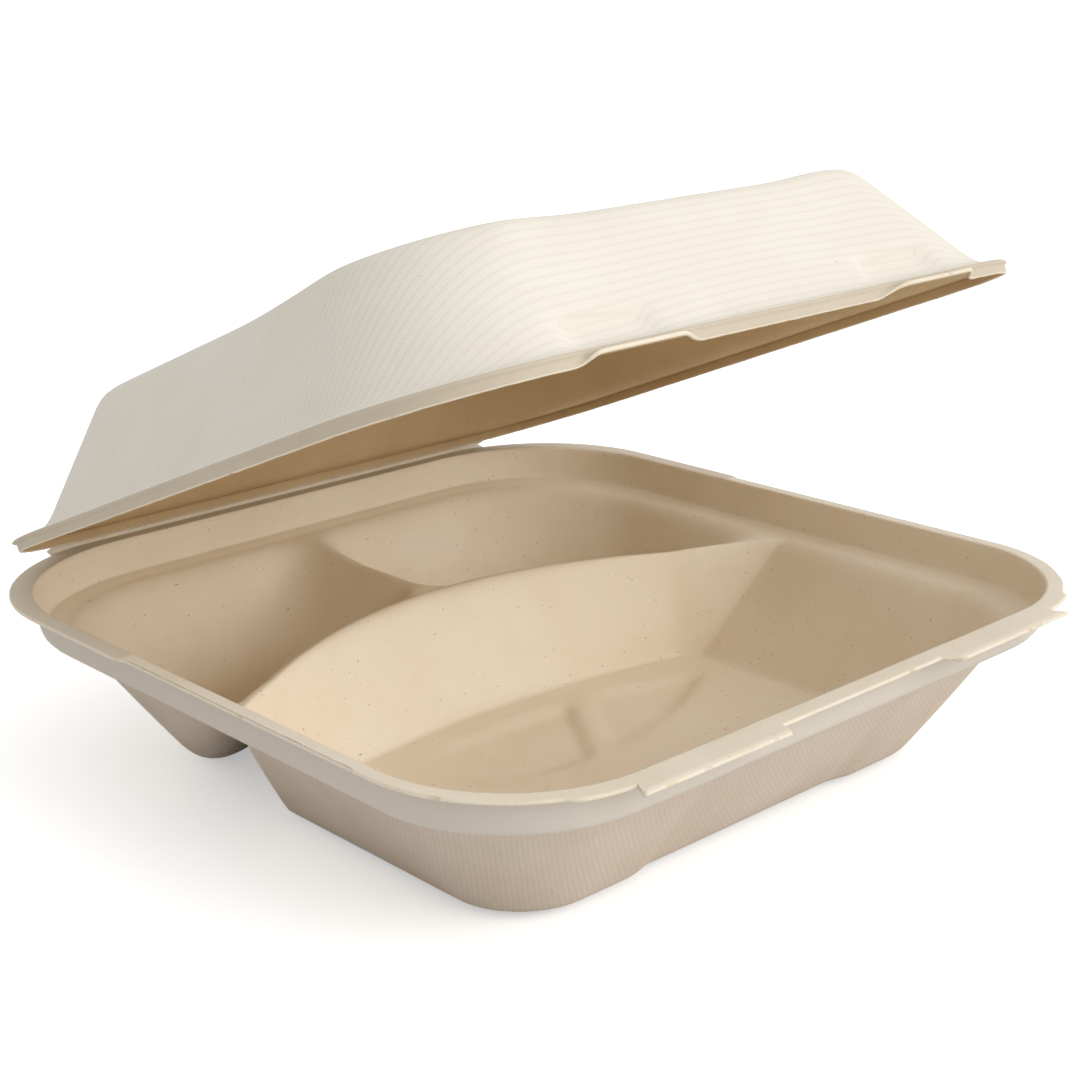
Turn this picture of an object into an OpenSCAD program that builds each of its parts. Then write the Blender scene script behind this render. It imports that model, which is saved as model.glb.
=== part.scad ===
// Hinged food box pressed in one piece from plant fibre, shown half open.
// The tray has one large and two small compartments, the lid a skirt with two notches.
// X runs along the hinge, the front with its two latch tabs faces -Y, the tray stands on z = 0.

/* [Tray] */
// Width over the rim
width = 229; // [210:1:245]
// Length over the rim, from the hinge to the front, without the tabs
length = 235; // [215:1:250]
// Height of the rim above the table
height = 49.5; // [44:0.5:56]
// Corner radius of the rim at the front
corner = 42; // [36:1:46]
// Corner radius of the rim beside the hinge
back_corner = 48; // [40:1:52]
// Thickness of the pressed wall
wall = 1.0; // [0.8:0.1:1.4]
// Width of the flat rim
rim = 5; // [4:0.5:7]
// Depth of the steep step inside the rim
lip_drop = 10; // [7:0.5:13]
// Width of the shoulder below that step
shoulder = 4.5; // [3:0.5:7]
// How far the compartment walls lean in between the shoulder and the floor
draft_run = 28.5; // [26:0.5:30]
// Corner radius of the floor at the front
floor_corner = 18; // [16:1:28]
// Corner radius of the floor beside the hinge
floor_back_corner = 39; // [28:1:42]
// How far the front rim bows outward at its middle
front_bow = 1.5; // [0:0.1:4]

/* [Dividers] */
// Height of the divider crests above the table
crest_height = 35; // [28:0.5:36]
// Place of the main divider's crest at the middle, ahead of the centre toward the hinge
crest_mid = 42; // [36:1:46]
// Sweep of the crest back toward the front at the side walls
crest_sweep = 25; // [18:1:30]
// Run of a divider's slope on the hinge side and beside the short divider
slope_run = 25; // [20:1:28]
// How much longer the main divider's slope on the hinge side is at the side walls
rear_widen = 8; // [0:1:10]
// Fillet between the dividers and the walls on the hinge side
rear_fillet = 14; // [8:1:16]
// Fillet between the main divider and the walls on the front side
front_fillet = 6; // [3:1:10]
// Place of the large compartment's back floor edge at the middle
foot_mid = 18; // [12:1:20]
// Sweep of that floor edge
foot_sweep = 8; // [4:1:12]
// Depth of the recess in the large floor, which a slanting rib parts in two
relief = 1.8; // [0.5:0.1:2.4]

/* [Tabs] */
// Distance between the centres of the two latch tabs
tab_spacing = 105; // [96:1:112]
// Width of a latch tab
tab_width = 45; // [36:1:50]
// How far a latch tab stands out from the rim
tab_out = 4.2; // [3:0.2:6]
// How far the front panel between the feet is set back at the floor
panel_depth = 2; // [1:0.5:4]
// Width of that panel
panel_width = 76; // [60:1:90]

/* [Lid] */
// Width of the lid over its skirt
lid_width = 218; // [206:1:226]
// Length of the lid from the hinge to the front of its skirt
lid_length = 229; // [214:1:233]
// Height of the lid's top above the hinge
lid_height = 35.8; // [30:0.2:42]
// Corner radius of the skirt at the front
lid_corner = 38; // [32:1:46]
// Corner radius of the skirt beside the hinge
lid_back_corner = 44; // [38:1:48]
// Corner radius of the lid's wall beside the hinge
wall_back_corner = 53; // [48:1:62]
// Height of the skirt
skirt = 4.4; // [3.6:0.1:7]
// How far the lid's walls lean in from the skirt to the top
lid_draft = 25; // [18:1:32]
// Extra height of the front part of the lid's top
front_rise = 1.6; // [0:0.1:3]
// Extra height of the two pads at its front corners
pad_rise = 1; // [0:0.1:2]
// Width of a notch in the skirt
notch_width = 31; // [24:1:36]
// Distance between the centres of the two notches
notch_spacing = 100; // [90:1:108]
// How far the lip in a notch stands out
lip_out = 3.2; // [2:0.2:5]
// Depth of the dimple above a notch
dimple = 2; // [0.5:0.1:3]
// Opening angle as shown
open_angle = 21.5; // [0:0.5:180]

/* [Hidden] */
// Clearance between the two halves on each side of the crease
crease_gap = 0.3;
// Height of the crease line
hinge_z = height + crease_gap;
// Place of the crease line
hinge_y = length / 2;
// How far the shoulder falls inward, its lowest height, and the run of the steep step above it
shoulder_fall = 1.2;
shoulder_z = height - lip_drop - shoulder_fall;
lip_run = 2.2;
// Insets of the leaning wall's head and foot from the rim's edge
wall_start = rim + lip_run + shoulder;
wall_end = wall_start + draft_run;
// Share of a slope that is rounded at its head and foot
rounding = 0.18;
// The recess in the large floor: a lens with its tips at lens_tip, bulging by these amounts
lens_tip = foot_mid - 21;
lens_back = 12;
lens_front = 20.7;
// The rib across the recess: a point on it, its direction and half its width
rib_point = [25, 6];
rib_turn = 56;
rib_half = 3.5;
// The lens on each side of the rib: where it starts to deepen to the right, over what run, its share there
left_part = [-48, 60, 0];
right_part = [20, 40, 0.4];
// Mesh steps of the tray: columns in half a width, rows in each stretch, rings down the walls
divider_cols = 7;
outer_cols = 7;
row_steps = [8, 5, 5, 4];
wall_rings = 8;
// Mesh steps of the lid
lid_cols = 8;
lid_rows = 13;
lid_rings = 6;
// Half the length of the soft bend at each end of a notch
notch_bend = 4;

// A rounded ramp from 0 to 1 whose ends are eased over the share a
function ramp(t, a = rounding) =
    t <= 0 ? 0 :
    t >= 1 ? 1 :
    t < a ? t * t / (2 * a * (1 - a)) :
    t > 1 - a ? 1 - (1 - t) * (1 - t) / (2 * a * (1 - a)) :
    (t - a / 2) / (1 - a);
// A smooth step between two places
function step_at(x, edge, soft) = ramp((x - edge) / soft + 0.5, 0.45);
// One inside the span of the given half width around a centre, zero outside, with soft ends
function window(x, centre, half, soft) = 1 - step_at(abs(x - centre), half, soft);
function mix(a, b, t) = a + (b - a) * t;
function clamp(t) = min(1, max(0, t));
// The larger of two shares, rounded over the width k where they meet
function meet(a, b, k) = let (h = max(k - abs(a - b), 0)) max(a, b) + h * h / (4 * k);

// Half the length of one side of a rounded rectangle, from its middle to its corner's middle
function reach(half, r) = half - r + r * PI / 4;
// Point at the distance s along a side, [along, out], the corner arcs included
function side_point(s, half, other, r) =
    let (flat = half - r, over = abs(s) - flat, turn = max(over, 0) / r * 180 / PI, sgn = s < 0 ? -1 : 1)
    over <= 0 ? [s, other] : [sgn * (flat + r * sin(turn)), other - r + r * cos(turn)];

// Stations along half a side, with others set round each edge of a tab or notch at the given marks
function sorted(v) = len(v) <= 1 ? v :
    let (p = v[0], rest = [for (i = [1 : len(v) - 1]) v[i]])
    concat(sorted([for (x = rest) if (x <= p) x]), [p], sorted([for (x = rest) if (x > p) x]));
function with_edges(list, edges, gap, marks) =
    sorted(concat(
        [for (q = list) if (min([for (e = edges) abs(q - e)]) > 1.5 * gap) q],
        [for (e = edges) for (g = marks) e + g * gap]));
function mirrored(v) = concat([for (i = [len(v) - 1 : -1 : 0]) -v[i]], [0], v);

// The mesh: rings of e places around, then a grid of n columns and m rows inside the last ring.
// Place k of a ring as [side, station], side 0 front, 1 right, 2 back, 3 left
function edge_place(k, n, m) =
    k < n ? [0, k] :
    k < n + m ? [1, k - n] :
    k < 2 * n + m ? [2, 2 * n + m - k] :
    [3, 2 * (n + m) - k];
// The same place as a column and row of the grid
function edge_cell(k, n, m) =
    let (p = edge_place(k, n, m))
    p[0] == 0 ? [p[1], 0] : p[0] == 1 ? [n, p[1]] : p[0] == 2 ? [p[1], m] : [0, p[1]];
// Index of the grid's point at column i and row j
function spot(i, j, rings, n, m) =
    let (e = 2 * (n + m), last = (rings - 1) * e)
    j == 0 ? last + i :
    i == n ? last + n + j :
    j == m ? last + n + m + (n - i) :
    i == 0 ? last + 2 * n + m + (m - j) :
    rings * e + (j - 1) * (n - 1) + i - 1;

// Grid point between the four sides of the last ring
function filled(i, j, ring, n, m) =
    let (e = 2 * (n + m), u = i / n, v = j / m,
         front = ring[i], back = ring[2 * n + m - i], right = ring[n + j], left = ring[(e - j) % e],
         c00 = ring[0], c10 = ring[n], c11 = ring[n + m], c01 = ring[2 * n + m])
    mix(front, back, v) + mix(left, right, u) - mix(mix(c00, c10, u), mix(c01, c11, u), v);

// Unit normals of a sheet from each point's neighbours; those of the first rings are given
function sheet_normals(p, rings, n, m, first) =
    let (e = 2 * (n + m))
    concat(
        [for (k = [0 : len(first) - 1]) first[k]],
        [for (r = [len(first) / e : rings - 1]) for (k = [0 : e - 1])
            let (cell = edge_cell(k, n, m),
                 inward = r < rings - 1 ? (r + 1) * e + k :
                     spot(min(max(cell[0], 1), n - 1), min(max(cell[1], 1), m - 1), rings, n, m),
                 a = p[r * e + (k + 1) % e] - p[r * e + (k + e - 1) % e],
                 b = p[inward] - p[(r - 1) * e + k],
                 c = cross(a, b))
            c / norm(c)],
        [for (j = [1 : m - 1]) for (i = [1 : n - 1])
            let (a = p[spot(i + 1, j, rings, n, m)] - p[spot(i - 1, j, rings, n, m)],
                 b = p[spot(i, j + 1, rings, n, m)] - p[spot(i, j - 1, rings, n, m)],
                 c = cross(a, b))
            c / norm(c)]);

// Four-sided faces of a sheet
function sheet_quads(rings, n, m) =
    let (e = 2 * (n + m)) [
        for (r = [0 : rings - 2]) for (k = [0 : e - 1])
            let (a = r * e + k, b = r * e + (k + 1) % e) [a, b, b + e, a + e],
        for (i = [0 : n - 1]) for (j = [0 : m - 1])
            [for (q = [[i, j], [i + 1, j], [i + 1, j + 1], [i, j + 1]]) spot(q[0], q[1], rings, n, m)]];

// Two triangles for each face, cut along the diagonal that passes nearer to the surface at its centre
function triangles(quads, p, centres) = [
    for (i = [0 : len(quads) - 1])
        let (q = quads[i], twice = 2 * centres[i],
             first = abs(p[q[0]][2] + p[q[2]][2] - twice) <= abs(p[q[1]][2] + p[q[3]][2] - twice))
        for (t = first ? [[0, 1, 2], [0, 2, 3]] : [[0, 1, 3], [1, 2, 3]]) [for (j = t) q[j]]];
// Mean of the four corners of each face
function face_means(quads, p) = [for (q = quads) (p[q[0]] + p[q[1]] + p[q[2]] + p[q[3]]) / 4];
// A closed shell between an upper and a lower sheet of the same mesh, joined along the first ring
module shell(upper, lower, faces, e) {
    count = len(upper);
    polyhedron(points = concat(upper, lower), convexity = 8, faces = [
        for (t = faces) [t[2], t[1], t[0]],
        for (t = faces) [for (i = t) i + count],
        for (k = [0 : e - 1]) let (s = (k + 1) % e)
            for (t = [[k, s, s + count], [k, s + count, k + count]]) t]);
}

// Tray: sizes of the floor and the stations of the mesh
half_w = width / 2;
half_l = length / 2;
floor_w = half_w - wall_end;
floor_l = half_l - wall_end;
short_share = slope_run / reach(floor_w, floor_back_corner);
tab_in = (tab_spacing - tab_width) / 2;
tab_far = (tab_spacing + tab_width) / 2;
rim_reach = reach(half_w, corner);
tray_cols = mirrored(with_edges(
    concat(
        [for (i = [1 : divider_cols]) short_share * i / divider_cols],
        [for (i = [1 : outer_cols]) mix(short_share, 1, i / outer_cols)]),
    [tab_in / rim_reach, tab_far / rim_reach], 0.004, [-1, 1]));
// Rows as [stretch, share], each stretch between two of: front, face foot, crest, rear foot, back
row_marks = concat(
    [for (s = [0 : 3]) for (i = [0 : row_steps[s] - 1]) [s, i / row_steps[s]]],
    [[3, 1]]);
// Insets of the rings from the rim's edge to the floor
tray_insets = concat(
    [0, 0.55 * rim, rim],
    [for (t = [0.25, 0.5, 0.8, 1.2]) rim + lip_run * t],
    [rim + lip_run + 0.6 * shoulder],
    [for (i = [0 : wall_rings]) wall_start + draft_run * i / wall_rings]);

// Height of the walls at an inset: the flat rim, the steep step, the shoulder and the leaning wall
function wall_height(inset) = height - lip_drop * ramp((inset - rim) / lip_run, 0.3)
    - shoulder_fall * ramp((inset - rim - lip_run) / shoulder, 0.3)
    - (shoulder_z - wall) * ramp((inset - wall_start) / draft_run);
// Main divider between the large and the two small compartments, an arc toward the hinge
function across(x) = 1 - pow(x / floor_w, 2);
function foot_y(x) = foot_mid - foot_sweep + foot_sweep * across(x);
function crest_y(x) = crest_mid - crest_sweep + crest_sweep * across(x);
function face_run(x) = max(crest_y(x) - foot_y(x), 0.3 * slope_run);
function rear_run(x) = slope_run + rear_widen * (1 - across(x));
// How far up each slope a place is, from 0 at its foot to 1 at its head, and below 0 on the floor
function wall_share(inset) = (wall_end - inset) / draft_run;
function main_share(x, past) = 1 - (past < 0 ? -past / face_run(x) : past / rear_run(x));
function short_share_at(x, past) = mix(-1, 1 - abs(x) / slope_run, step_at(past, 0, 8));
// Food side of the tray at a place with the given inset from the rim's edge
function ground(x, y, inset) =
    inset <= wall_start ? wall_height(inset) :
    let (past = y - crest_y(x), k = mix(front_fillet, rear_fillet, step_at(past, 0, 16)) / draft_run,
         up = wall_share(inset), dividers = meet(main_share(x, past), short_share_at(x, past), k),
         head = mix(crest_height, shoulder_z, clamp(up)))
    wall + (head - wall) * ramp(meet(up, dividers, k));
// Inset of a place on the floor
function floor_inset(x, y) =
    let (r = y < 0 ? floor_corner : floor_back_corner, u = abs(x) - floor_w + r, v = abs(y) - floor_l + r)
    wall_end + max(0, r - norm([max(u, 0), max(v, 0)]) - min(max(u, v), 0));
// Place of a row at x, between the given places of the front and the back
function row_at(x, row, front, back) =
    let (c = crest_y(x), keys = [front, c - face_run(x), c, c + rear_run(x), back])
    mix(keys[row[0]], keys[row[0] + 1], row[1]);
// The large floor is raised all round a shallow lens, and so is the rib that parts the lens
lens_half = 0.88 * floor_w;
function inside_arc(x, ahead, bulge) =
    let (r = (lens_half * lens_half + bulge * bulge) / (2 * bulge))
    1 - step_at(norm([x, ahead - bulge + r]), r, 5);
function rib_side(x, y) = (x - rib_point[0]) * sin(rib_turn) - (y - rib_point[1]) * cos(rib_turn);
function deepening(x, part) = mix(part[2], 1, ramp((x - part[0]) / part[1], 0.4));
function recess(x, y) =
    let (side = rib_side(x, y))
    deepening(x, side < 0 ? left_part : right_part) * (1 - window(side, 0, rib_half, 4))
        * inside_arc(x, y - lens_tip, lens_back) * inside_arc(x, lens_tip - y, lens_front);
function raised(x, y) = y > crest_y(x) ? 0 : relief * (1 - recess(x, y));

// Plan of a ring's point: inset from the rim, side, station
function tray_plan(inset, side, station) =
    let (share = min(1, max(inset, 0) / wall_end), a = half_w - inset, b = half_l - inset,
         r = mix(corner, floor_corner, share), back_r = mix(back_corner, floor_back_corner, share))
    side % 2 == 1 ?
        let (s = row_at(half_w - max(inset, wall_start), station, -reach(b, r), reach(b, back_r)),
             q = side_point(s, b, a, s < 0 ? r : back_r))
        [side == 1 ? q[1] : -q[1], q[0]] :
    side == 2 ?
        let (near = min(1, abs(station) / short_share),
             far = max(0, abs(station) - short_share) / (1 - short_share))
        side_point(sign(station) * mix(near * slope_run, reach(a, back_r), far), a, b, back_r) :
    let (q = side_point(station * reach(a, r), a, b, r),
         bow = front_bow * (1 - share) * max(0, 1 - pow(q[0] / a, 2)),
         set = panel_depth * share * window(q[0], 0, panel_width / 2, 10))
    [q[0], -q[1] - bow + set];

module tray() {
    n = len(tray_cols) - 1;
    m = len(row_marks) - 1;
    e = 2 * (n + m);
    rings = len(tray_insets);
    // A latch tab where the edge ring passes it
    function tab_at(ring, side, station) =
        ring > 0 || side != 0 ? 0 :
        abs(abs(station) * rim_reach - tab_spacing / 2) < tab_width / 2 ? tab_out : 0;
    plan = [for (r = [0 : rings - 1]) for (k = [0 : e - 1])
        let (p = edge_place(k, n, m), station = p[0] % 2 == 0 ? tray_cols[p[1]] : row_marks[p[1]],
                 inset = tray_insets[r] - tab_at(r, p[0], station))
        concat(tray_plan(inset, p[0], station), [inset])];
    last = [for (k = [0 : e - 1]) let (q = plan[(rings - 1) * e + k]) [q[0], q[1]]];
    middle = [for (j = [1 : m - 1]) for (i = [1 : n - 1])
        let (x = filled(i, j, last, n, m)[0],
             y = row_at(min(abs(x), floor_w), row_marks[j], last[i][1], last[2 * n + m - i][1]))
        [x, y, floor_inset(x, y)]];
    body = [for (q = concat(plan, middle)) [q[0], q[1], ground(q[0], q[1], q[2])]];
    flat = [for (k = [0 : 2 * e - 1]) [0, 0, 1]];
    normals = sheet_normals(body, rings, n, m, flat);
    upper = [for (q = body) [q[0], q[1], max(q[2], wall + raised(q[0], q[1]))]];
    lower = [for (i = [0 : len(body) - 1]) body[i] - wall * normals[i]];
    quads = sheet_quads(rings, n, m);
    centres = [for (c = face_means(quads, concat(plan, middle))) ground(c[0], c[1], c[2])];
    color("#D9C09A") shell(upper, lower, triangles(quads, body, centres), e);
}

// Lid, in its own frame: the hinge line along X through the origin, closed, the front toward -Y
lid_half = lid_width / 2;
lid_mid = (lid_length - crease_gap) / 2;
lid_centre = (lid_length + crease_gap) / 2;
lid_reach = reach(lid_half, lid_corner);
notch_in = (notch_spacing - notch_width) / 2;
notch_far = (notch_spacing + notch_width) / 2;
lid_stations = mirrored(with_edges([for (i = [1 : lid_cols]) i / lid_cols],
    [notch_in / lid_reach, notch_far / lid_reach], notch_bend / lid_reach, [-1, 0, 1]));
// Width of the narrow step above the skirt, and height of the bend between the two
step_run = 2.8;
skirt_bend = 1.3;
// The lid's section: [inset, height] from the skirt's edge over the narrow step and up the wall
lid_section = concat(
    [[0, crease_gap], [0.2, skirt - skirt_bend], [0.2 + 0.8 * skirt_bend, skirt - 0.2 * skirt_bend],
     [step_run, skirt]],
    [for (i = [1 : lid_rings]) let (t = i / lid_rings)
        [step_run + lid_draft * t, mix(skirt, lid_height, ramp(t, 0.2))]]);
// Extra height of the front part of the top and of the pads at its corners
function pad(x, y) =
    let (ahead = -y - lid_centre)
    front_rise * step_at(ahead, 0.3 * lid_mid, 45)
        + pad_rise * step_at(abs(x), 0.4 * lid_half, 30) * step_at(ahead, 0.45 * lid_mid, 30);

module lid() {
    n = len(lid_stations) - 1;
    m = lid_rows;
    e = 2 * (n + m);
    rings = len(lid_section);
    top = rings - 1;
    // One inside a notch of the skirt's edge, zero away from it
    function notch_at(side, station) =
        side > 0 ? 0 : window(abs(station) * lid_reach, notch_spacing / 2, notch_width / 2, 2 * notch_bend);
    function lid_plan(inset, rise, side, station) =
        let (a = lid_half - inset, b = lid_mid - inset, back = side == 2 || side % 2 == 1 && station > 0,
             up = max(0, inset), back_r = mix(lid_back_corner, wall_back_corner, min(1, up / step_run)),
             r = back ? back_r - 0.4 * max(0, up - step_run) : lid_corner - 0.3 * up,
             long = side % 2 == 0, s = station * reach(long ? a : b, r),
             q = long ? side_point(s, a, b, r) : side_point(s, b, a, r),
             push = side > 0 ? 0 : dimple * window(abs(q[0]), notch_spacing / 2, 0.42 * notch_width, 9)
                 * window(rise, skirt + 3.5, 3.5, 3))
        side == 0 ? [q[0], -q[1] + push - lid_centre] :
        side == 2 ? [q[0], q[1] - lid_centre] :
        [side == 1 ? q[1] : -q[1], q[0] - lid_centre];
    edge_stations = [for (k = [0 : e - 1]) let (p = edge_place(k, n, m))
        [p[0], p[0] % 2 == 0 ? lid_stations[p[1]] : -1 + 2 * p[1] / m]];
    ring_points = [for (r = [0 : top]) for (p = edge_stations)
        let (lip = r == 0 ? notch_at(p[0], p[1]) : 0, inset = mix(lid_section[r][0], -lip_out, lip),
             rise = mix(lid_section[r][1], skirt - skirt_bend, lip), q = lid_plan(inset, rise, p[0], p[1]))
        [q[0], q[1], rise + pad(q[0], q[1]) * max(0, rise - skirt) / (lid_height - skirt)]];
    last = [for (k = [0 : e - 1]) ring_points[top * e + k]];
    middle = [for (j = [1 : m - 1]) for (i = [1 : n - 1])
        let (q = filled(i, j, last, n, m)) [q[0], q[1], lid_height + pad(q[0], q[1])]];
    upper = concat(ring_points, middle);
    // The skirt's edge faces straight out, and a notch's lip straight up
    first = [for (r = [0 : 1]) for (k = [0 : e - 1])
        let (p = edge_stations[k], q = ring_points[k] - ring_points[top * e + k],
             way = mix([q[0], q[1], 0] / norm([q[0], q[1]]), [0, 0, 1], notch_at(p[0], p[1])))
        way / norm(way)];
    normals = sheet_normals(upper, rings, n, m, first);
    lower = [for (i = [0 : len(upper) - 1]) upper[i] - wall * normals[i]];
    quads = sheet_quads(rings, n, m);
    faces = triangles(quads, upper, [for (c = face_means(quads, upper)) c[2]]);
    translate([0, hinge_y, hinge_z]) rotate([-open_angle, 0, 0])
        color("#E4DCCB") shell(upper, lower, faces, e);
}

tray();
lid();
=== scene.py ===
# %% [markdown]
# # A hinged food box of pressed plant fibre
# The real box is one sheet of sugar cane fibre. Wet pulp is sucked onto a mould that is covered
# with wire cloth, and then pressed dry between hot tools. So it has two faces: the food side is
# smooth and tan, and the wire side is paler and carries the print of the cloth.
# The plan is to load the imported solids, to make each half again as one dense, smooth shell, to
# join them with a thin folded strip, and to give every face the finish that its side really has,
# with painted shade on the lid's inside and on the back of the rim.

# %% Load the imported model
import math

import bpy
import numpy as np
from mathutils import Matrix


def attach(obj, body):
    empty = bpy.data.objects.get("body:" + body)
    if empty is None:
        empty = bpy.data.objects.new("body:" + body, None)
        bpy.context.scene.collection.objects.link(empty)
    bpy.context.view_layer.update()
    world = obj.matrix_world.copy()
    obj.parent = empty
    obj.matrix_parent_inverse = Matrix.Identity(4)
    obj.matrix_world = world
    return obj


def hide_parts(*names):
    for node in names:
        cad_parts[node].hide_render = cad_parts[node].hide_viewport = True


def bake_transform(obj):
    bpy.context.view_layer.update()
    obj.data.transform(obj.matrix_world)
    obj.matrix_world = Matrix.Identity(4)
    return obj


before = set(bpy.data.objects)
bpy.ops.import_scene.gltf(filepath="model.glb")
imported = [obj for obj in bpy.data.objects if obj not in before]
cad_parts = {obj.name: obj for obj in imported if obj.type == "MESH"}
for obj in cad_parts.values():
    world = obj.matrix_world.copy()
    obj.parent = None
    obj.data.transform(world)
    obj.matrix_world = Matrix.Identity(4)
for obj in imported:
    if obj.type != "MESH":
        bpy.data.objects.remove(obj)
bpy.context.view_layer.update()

# %% [markdown]
# ## Sizes
# The shells must stay where the solids are, so they start from the same sizes. They are written
# here in millimetres, because the drawing is, and turned into metres when a mesh is made.

# %% Sizes of the tray, in millimetres
WIDTH, LENGTH, HEIGHT = 229.0, 235.0, 49.5
CORNER, BACK_CORNER = 42.0, 48.0
WALL = 1.0
RIM, LIP_RUN, LIP_DROP = 5.0, 2.2, 10.0
SHOULDER, SHOULDER_FALL = 4.5, 1.2
DRAFT_RUN = 28.5
FLOOR_CORNER, FLOOR_BACK_CORNER = 18.0, 39.0
FRONT_BOW = 1.5
ROUNDING = 0.18
HALF_W, HALF_L = WIDTH / 2, LENGTH / 2
SHOULDER_Z = HEIGHT - LIP_DROP - SHOULDER_FALL
WALL_START = RIM + LIP_RUN + SHOULDER
WALL_END = WALL_START + DRAFT_RUN
FLOOR_W, FLOOR_L = HALF_W - WALL_END, HALF_L - WALL_END
print("floor of the tray:", round(2 * FLOOR_W, 1), "by", round(2 * FLOOR_L, 1), "mm")

# %% Sizes of the dividers, the recess in the floor and the latch tabs
CREST_HEIGHT, CREST_MID, CREST_SWEEP = 35.0, 42.0, 25.0
SLOPE_RUN, REAR_WIDEN = 25.0, 8.0
FRONT_FILLET, REAR_FILLET = 6.0, 14.0
FOOT_MID, FOOT_SWEEP = 18.0, 8.0
RELIEF = 1.8
LENS_TIP, LENS_BACK, LENS_FRONT, LENS_HALF = FOOT_MID - 21, 12.0, 20.7, 0.88 * FLOOR_W
RIB_POINT, RIB_TURN, RIB_HALF = (25.0, 6.0), math.radians(56), 3.5
LEFT_PART, RIGHT_PART = (-48.0, 60.0, 0.0), (20.0, 40.0, 0.4)
TAB_SPACING, TAB_WIDTH, TAB_OUT = 105.0, 45.0, 4.2
PANEL_DEPTH, PANEL_WIDTH = 2.0, 76.0

# %% Sizes of the lid, in its own closed frame with the hinge line along X
LID_WIDTH, LID_LENGTH, LID_HEIGHT = 218.0, 229.0, 35.8
LID_CORNER, LID_BACK_CORNER, WALL_BACK_CORNER = 38.0, 44.0, 53.0
SKIRT, SKIRT_BEND, STEP_RUN, LID_DRAFT = 4.4, 1.3, 2.8, 25.0
FRONT_RISE, PAD_RISE = 1.6, 1.0
NOTCH_WIDTH, NOTCH_SPACING, NOTCH_BEND, LIP_OUT, DIMPLE = 31.0, 100.0, 4.0, 3.2, 2.0
CREASE_GAP = 0.3
HINGE_Y, HINGE_Z = HALF_L, HEIGHT + CREASE_GAP
OPEN_ANGLE = math.radians(21.5)

# %% [markdown]
# ## Curves that pressed fibre makes
# A press can't make a knife edge: each slope starts and ends in a soft bend. One easing curve
# with a straight middle gives every slope here, so all bends share one character.

# %% Easing curves
def clamp(t):
    return min(1.0, max(0.0, t))


def ramp(t, a=ROUNDING):
    """From 0 to 1 with a straight middle; the share a at each end is eased."""
    t = clamp(t)
    k = 2 * a * (1 - a)
    if t < a:
        return t * t / k
    if t > 1 - a:
        return 1 - (1 - t) * (1 - t) / k
    return (t - a / 2) / (1 - a)


def step_at(x, edge, soft):
    return ramp((x - edge) / soft + 0.5, 0.45)


def window(x, centre, half, soft):
    return 1 - step_at(abs(x - centre), half, soft)


def mix(a, b, t):
    return a + (b - a) * t


def meet(a, b, k):
    """The larger of two shares, rounded over the width k where they meet."""
    h = max(k - abs(a - b), 0.0)
    return max(a, b) + h * h / (4 * k)

# %% [markdown]
# ## Walking round a rounded rectangle
# Every level of the box is a rounded rectangle. A station is a place on one of its four sides,
# corner arcs included, so that rows of points line up from the rim down to the floor.

# %% Points on a rounded side
def reach(half, r):
    return half - r + r * math.pi / 4


def side_point(s, half, other, r):
    over = abs(s) - (half - r)
    if over <= 0:
        return s, other
    turn = over / r
    return math.copysign(half - r + r * math.sin(turn), s), other - r + r * math.cos(turn)


def stations(count, marks, reach_length, gap_mm=0.25):
    """Even places from -1 to 1, with a close pair at each mark so that a tab ends square."""
    gap = gap_mm / reach_length
    half = [i / count for i in range(1, count + 1)]
    for mark in marks:
        s = mark / reach_length
        half = [q for q in half if abs(q - s) > 2 * gap] + [s - gap, s + gap]
    half = sorted(half)
    return [-q for q in reversed(half)] + [0.0] + half

# %% [markdown]
# ## One sheet, then a shell
# Modelling the box as a sheet with an even thickness is the closest thing to how it is made: the
# pulp has the same thickness everywhere. Blender's Solidify modifier could give the thickness,
# but building the second face along the normals here keeps three things in hand: which face is
# the food side, the rounded cut edge, and a flat map of the sheet for the wire cloth's print.

# %% The pattern of rings and grid
def ring_places(n, m):
    """Side and index of each place round a ring: front, right, back, left."""
    return ([(0, i) for i in range(n)] + [(1, j) for j in range(m)]
            + [(2, n - i) for i in range(n)] + [(3, m - j) for j in range(m)])


def grid_index(rings, n, m):
    """Index of each point of the grid inside the last ring, whose border is that ring."""
    e, last = 2 * (n + m), (rings - 1) * 2 * (n + m)
    grid = np.zeros((n + 1, m + 1), int)
    grid[:, 0] = last + np.arange(n + 1)
    grid[n, :] = last + n + np.arange(m + 1)
    grid[:, m] = last + 2 * n + m - np.arange(n + 1)
    grid[0, 1:] = last + 2 * n + 2 * m - np.arange(1, m + 1)
    grid[1:n, 1:m] = (rings * e + np.arange((n - 1) * (m - 1)).reshape(m - 1, n - 1)).T
    return grid


def sheet_faces(rings, n, m):
    e, grid = 2 * (n + m), grid_index(rings, n, m)
    faces = [(r * e + k, r * e + (k + 1) % e, (r + 1) * e + (k + 1) % e, (r + 1) * e + k)
             for r in range(rings - 1) for k in range(e)]
    faces += [(grid[i, j], grid[i + 1, j], grid[i + 1, j + 1], grid[i, j + 1])
              for i in range(n) for j in range(m)]
    return np.array(faces, int)


def coons_x(i, j, ring, n, m):
    """Sideways place of an inner point, spread between the four sides of the last ring."""
    e, u, v = 2 * (n + m), i / n, j / m
    front, back = ring[i][0], ring[2 * n + m - i][0]
    right, left = ring[n + j][0], ring[(e - j) % e][0]
    corners = mix(mix(ring[0][0], ring[n][0], u), mix(ring[2 * n + m][0], ring[n + m][0], u), v)
    return mix(front, back, v) + mix(left, right, u) - corners

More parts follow.
